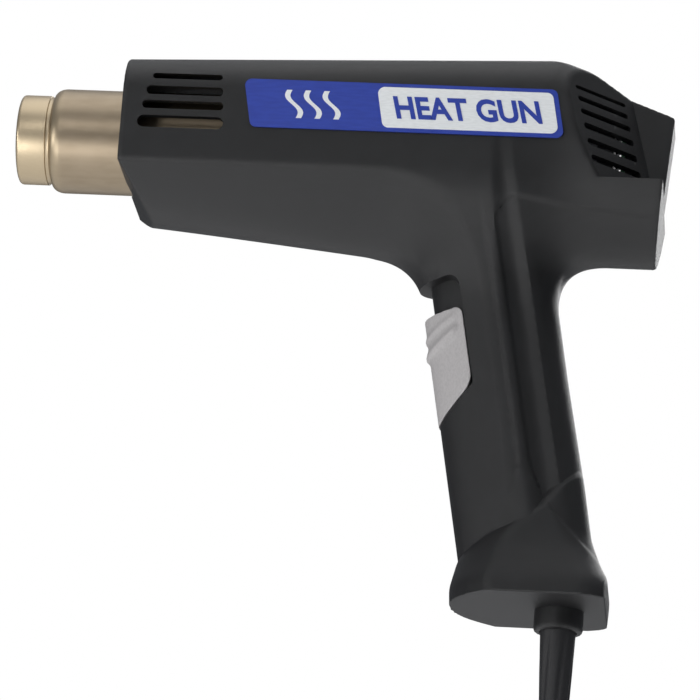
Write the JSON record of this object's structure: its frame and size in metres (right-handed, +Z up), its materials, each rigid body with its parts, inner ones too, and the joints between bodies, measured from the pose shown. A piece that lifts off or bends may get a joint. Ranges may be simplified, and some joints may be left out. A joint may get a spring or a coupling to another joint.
{
  "type": "heat gun",
  "caption": "Pistol-grip electric heat gun with a stepped steel nozzle, slatted cooling slots, sliding power switch, flat standing tail and mains cord with plug",
  "frame": {"origin": "the middle of the grip on the mid-plane, where a hand holds the tool", "axes": "+X to the back along the nozzle axis, +Y to the tool's right, +Z up, with the handle hanging down from the barrel"},
  "size_m": [0.2682, 0.0736, 0.488],
  "materials": {
    "housing_black": "fine matte moulded",
    "screw_steel": "blackened steel",
    "label_blue": "printed label film",
    "plate_white": "printed label film",
    "nozzle_steel": "heat-tinted brushed steel",
    "mica": "mica sheet",
    "ceramic": "fired ceramic",
    "heating_wire": "resistance wire",
    "brass": "plain brass",
    "duct_plastic": "glass-filled plastic",
    "impeller_plastic": "moulded plastic",
    "motor_steel": "plated steel",
    "bronze": "sintered bronze",
    "magnet": "ferrite",
    "board": "circuit board",
    "component_black": "epoxy",
    "capacitor_blue": "epoxy dipped",
    "switch_black": "moulded plastic",
    "slider_grey": "fine matte moulded",
    "wire_red": "insulated wire",
    "wire_white": "insulated wire",
    "cord_black": "rubber sheath",
    "tie_black": "coated wire tie",
    "plated_brass": "nickel-plated brass"
  },
  "bodies": {
    "tool": {"left_housing": "housing_black", "right_housing": "housing_black", "housing_screws": "screw_steel", "left_label": "label_blue", "right_label": "label_blue", "left_plate": "plate_white", "right_plate": "plate_white", "nozzle_tube": "nozzle_steel", "mica_sleeve": "mica", "heater_core": "mica", "heating_coils": "heating_wire", "heater_base": "ceramic", "heater_terminals": "brass", "thermal_cutout": "component_black", "fan_duct": "duct_plastic", "motor_can": "motor_steel", "motor_end_cap": "duct_plastic", "motor_bushes": "bronze", "motor_magnets": "magnet", "motor_cradle": "duct_plastic", "rectifier_board": "board", "rectifier_diodes": "component_black", "switch_body": "switch_black", "switch_tabs": "brass", "suppressor": "capacitor_blue", "supply_leads": "wire_white", "heater_lead": "wire_white", "motor_lead": "wire_red", "cord_core": "cord_black", "cord_clamp": "duct_plastic", "clamp_block": "duct_plastic", "clamp_screws": "screw_steel", "cord_boot": "cord_black", "power_cord": "cord_black", "cord_coil": "cord_black", "cord_tail": "cord_black", "cord_tie": "tie_black", "plug_body": "cord_black", "plug_blades": "plated_brass", "plug_earth_pin": "plated_brass"},
    "fan": {"impeller": "impeller_plastic", "motor_shaft": "motor_steel", "motor_rotor": "motor_steel"},
    "slider": {"switch_slider": "slider_grey", "switch_carriage": "switch_black"}
  },
  "joints": [
    {"name": "switch_slide", "type": "slide", "parent": "tool", "child": "slider", "axis": [-0.1874, 0, 0.9823], "range_m": [0, 0.01]},
    {"name": "fan_spin", "type": "hinge", "parent": "tool", "child": "fan", "pos_m": [0, 0, 0.104], "axis": [1, 0, 0], "continuous": true}
  ]
}
